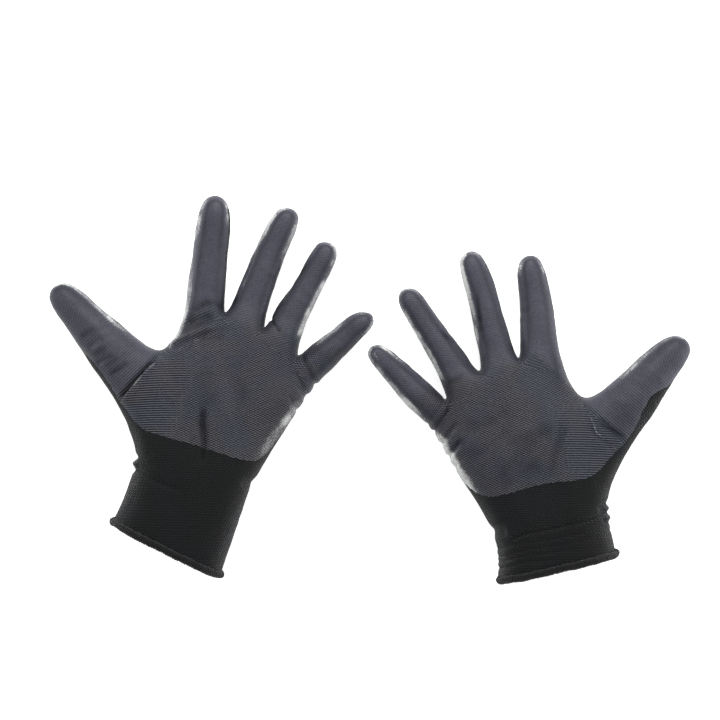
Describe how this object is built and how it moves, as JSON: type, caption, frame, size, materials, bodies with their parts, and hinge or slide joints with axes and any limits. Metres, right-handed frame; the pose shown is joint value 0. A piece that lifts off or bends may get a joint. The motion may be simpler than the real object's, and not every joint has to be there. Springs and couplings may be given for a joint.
{
  "type": "work gloves",
  "caption": "Seamless knitted work gloves, left and right, with dipped palms and fingers, long elastic cuffs and rolled hems, lying palms up with the fingers spread.",
  "frame": {"origin": "middle of the pair's footprint, on the surface that the backs of the gloves lie on", "axes": "+Z out of the palms, +X from the left glove to the right glove, +Y towards the fingertips"},
  "size_m": [0.4205, 0.2553, 0.043],
  "materials": {
    "liner_knit": "fine black seamless knit, matt, with stitch courses about 1.4 mm apart",
    "palm_coating": "thin slate-grey dipped coating, semi-matt, with the knit showing through",
    "cuff_knit": "black elastic rib knit with a fine grid of stitches, matt",
    "hem_yarn": "black overlocked edge, tight thread wraps round a soft roll"
  },
  "bodies": {
    "left_palm": {"left_palm_liner": "liner_knit", "left_palm_coating": "palm_coating"},
    "left_cuff": {"left_cuff": "cuff_knit", "left_hem": "hem_yarn"},
    "left_thumb_base": {"left_thumb_base_liner": "liner_knit", "left_thumb_base_coating": "palm_coating"},
    "left_thumb_tip": {"left_thumb_tip_liner": "liner_knit", "left_thumb_tip_coating": "palm_coating"},
    "left_index_base": {"left_index_base_liner": "liner_knit", "left_index_base_coating": "palm_coating"},
    "left_index_tip": {"left_index_tip_liner": "liner_knit", "left_index_tip_coating": "palm_coating"},
    "left_middle_base": {"left_middle_base_liner": "liner_knit", "left_middle_base_coating": "palm_coating"},
    "left_middle_tip": {"left_middle_tip_liner": "liner_knit", "left_middle_tip_coating": "palm_coating"},
    "left_ring_base": {"left_ring_base_liner": "liner_knit", "left_ring_base_coating": "palm_coating"},
    "left_ring_tip": {"left_ring_tip_liner": "liner_knit", "left_ring_tip_coating": "palm_coating"},
    "left_little_base": {"left_little_base_liner": "liner_knit", "left_little_base_coating": "palm_coating"},
    "left_little_tip": {"left_little_tip_liner": "liner_knit", "left_little_tip_coating": "palm_coating"},
    "right_palm": {"right_palm_liner": "liner_knit", "right_palm_coating": "palm_coating"},
    "right_cuff": {"right_cuff": "cuff_knit", "right_hem": "hem_yarn"},
    "right_thumb_base": {"right_thumb_base_liner": "liner_knit", "right_thumb_base_coating": "palm_coating"},
    "right_thumb_tip": {"right_thumb_tip_liner": "liner_knit", "right_thumb_tip_coating": "palm_coating"},
    "right_index_base": {"right_index_base_liner": "liner_knit", "right_index_base_coating": "palm_coating"},
    "right_index_tip": {"right_index_tip_liner": "liner_knit", "right_index_tip_coating": "palm_coating"},
    "right_middle_base": {"right_middle_base_liner": "liner_knit", "right_middle_base_coating": "palm_coating"},
    "right_middle_tip": {"right_middle_tip_liner": "liner_knit", "right_middle_tip_coating": "palm_coating"},
    "right_ring_base": {"right_ring_base_liner": "liner_knit", "right_ring_base_coating": "palm_coating"},
    "right_ring_tip": {"right_ring_tip_liner": "liner_knit", "right_ring_tip_coating": "palm_coating"},
    "right_little_base": {"right_little_base_liner": "liner_knit", "right_little_base_coating": "palm_coating"},
    "right_little_tip": {"right_little_tip_liner": "liner_knit", "right_little_tip_coating": "palm_coating"}
  },
  "joints": [
    {"name": "right_glove_lift", "type": "slide", "parent": "left_palm", "child": "right_palm", "axis": [0, 0, 1], "range_m": [0, 0.12]},
    {"name": "left_cuff_bend", "type": "hinge", "parent": "left_palm", "child": "left_cuff", "pos_m": [-0.1159, -0.0524, 0.0205], "axis": [-0.9494, 0.314, 0], "range_deg": [-30, 30], "stiffness_Nm_per_rad": 0.05},
    {"name": "left_thumb_base_bend", "type": "hinge", "parent": "left_palm", "child": "left_thumb_base", "pos_m": [-0.16699, 0.02243, 0.03278], "axis": [0.7466, 0.6652, 0], "range_deg": [-10, 40], "stiffness_Nm_per_rad": 0.03},
    {"name": "left_thumb_tip_bend", "type": "hinge", "parent": "left_thumb_base", "child": "left_thumb_tip", "pos_m": [-0.18839, 0.04688, 0.03212], "axis": [0.7466, 0.6652, 0], "range_deg": [0, 60], "stiffness_Nm_per_rad": 0.018},
    {"name": "left_index_base_bend", "type": "hinge", "parent": "left_palm", "child": "left_index_base", "pos_m": [-0.10843, 0.06415, 0.0226], "axis": [0.9839, -0.1788, 0], "range_deg": [-10, 75], "stiffness_Nm_per_rad": 0.02},
    {"name": "left_index_tip_bend", "type": "hinge", "parent": "left_index_base", "child": "left_index_tip", "pos_m": [-0.10517, 0.09151, 0.02515], "axis": [0.9839, -0.1788, 0], "range_deg": [0, 85], "stiffness_Nm_per_rad": 0.012},
    {"name": "left_middle_base_bend", "type": "hinge", "parent": "left_palm", "child": "left_middle_base", "pos_m": [-0.07869, 0.05853, 0.0208], "axis": [0.9379, -0.3469, 0], "range_deg": [-10, 75], "stiffness_Nm_per_rad": 0.02},
    {"name": "left_middle_tip_bend", "type": "hinge", "parent": "left_middle_base", "child": "left_middle_tip", "pos_m": [-0.06753, 0.08749, 0.02383], "axis": [0.9379, -0.3469, 0], "range_deg": [0, 85], "stiffness_Nm_per_rad": 0.012},
    {"name": "left_ring_base_bend", "type": "hinge", "parent": "left_palm", "child": "left_ring_base", "pos_m": [-0.05431, 0.04625, 0.02053], "axis": [0.9041, -0.4274, 0], "range_deg": [-10, 75], "stiffness_Nm_per_rad": 0.02},
    {"name": "left_ring_tip_bend", "type": "hinge", "parent": "left_ring_base", "child": "left_ring_tip", "pos_m": [-0.04092, 0.06921, 0.02277], "axis": [0.9041, -0.4274, 0], "range_deg": [0, 85], "stiffness_Nm_per_rad": 0.012},
    {"name": "left_little_base_bend", "type": "hinge", "parent": "left_palm", "child": "left_little_base", "pos_m": [-0.03401, 0.02005, 0.01974], "axis": [0.7848, -0.6198, 0], "range_deg": [-10, 75], "stiffness_Nm_per_rad": 0.02},
    {"name": "left_little_tip_bend", "type": "hinge", "parent": "left_little_base", "child": "left_little_tip", "pos_m": [-0.01703, 0.03476, 0.02251], "axis": [0.7848, -0.6198, 0], "range_deg": [0, 85], "stiffness_Nm_per_rad": 0.012},
    {"name": "right_cuff_bend", "type": "hinge", "parent": "right_palm", "child": "right_cuff", "pos_m": [0.1183, -0.0835, 0.0205], "axis": [-0.9483, -0.3173, 0], "range_deg": [-30, 30], "stiffness_Nm_per_rad": 0.05},
    {"name": "right_thumb_base_bend", "type": "hinge", "parent": "right_palm", "child": "right_thumb_base", "pos_m": [0.16944, -0.00944, 0.03278], "axis": [0.7716, -0.6361, 0], "range_deg": [-10, 40], "stiffness_Nm_per_rad": 0.03},
    {"name": "right_thumb_tip_bend", "type": "hinge", "parent": "right_thumb_base", "child": "right_thumb_tip", "pos_m": [0.18918, 0.01509, 0.03229], "axis": [0.7716, -0.6361, 0], "range_deg": [0, 60], "stiffness_Nm_per_rad": 0.018},
    {"name": "right_index_base_bend", "type": "hinge", "parent": "right_palm", "child": "right_index_base", "pos_m": [0.11105, 0.03429, 0.02168], "axis": [0.9833, 0.1822, 0], "range_deg": [-10, 75], "stiffness_Nm_per_rad": 0.02},
    {"name": "right_index_tip_bend", "type": "hinge", "parent": "right_index_base", "child": "right_index_tip", "pos_m": [0.10881, 0.0599, 0.02392], "axis": [0.9833, 0.1822, 0], "range_deg": [0, 85], "stiffness_Nm_per_rad": 0.012},
    {"name": "right_middle_base_bend", "type": "hinge", "parent": "right_palm", "child": "right_middle_base", "pos_m": [0.08275, 0.02904, 0.02106], "axis": [0.9537, 0.3007, 0], "range_deg": [-10, 75], "stiffness_Nm_per_rad": 0.02},
    {"name": "right_middle_tip_bend", "type": "hinge", "parent": "right_middle_base", "child": "right_middle_tip", "pos_m": [0.07513, 0.05812, 0.02365], "axis": [0.9537, 0.3007, 0], "range_deg": [0, 85], "stiffness_Nm_per_rad": 0.012},
    {"name": "right_ring_base_bend", "type": "hinge", "parent": "right_palm", "child": "right_ring_base", "pos_m": [0.05463, 0.01541, 0.02071], "axis": [0.887, 0.4618, 0], "range_deg": [-10, 75], "stiffness_Nm_per_rad": 0.02},
    {"name": "right_ring_tip_bend", "type": "hinge", "parent": "right_ring_base", "child": "right_ring_tip", "pos_m": [0.03942, 0.03879, 0.02295], "axis": [0.887, 0.4618, 0], "range_deg": [0, 85], "stiffness_Nm_per_rad": 0.012},
    {"name": "right_little_base_bend", "type": "hinge", "parent": "right_palm", "child": "right_little_base", "pos_m": [0.03568, -0.00675, 0.01992], "axis": [0.8039, 0.5948, 0], "range_deg": [-10, 75], "stiffness_Nm_per_rad": 0.02},
    {"name": "right_little_tip_bend", "type": "hinge", "parent": "right_little_base", "child": "right_little_tip", "pos_m": [0.01827, 0.01062, 0.02304], "axis": [0.8039, 0.5948, 0], "range_deg": [0, 85], "stiffness_Nm_per_rad": 0.012}
  ]
}
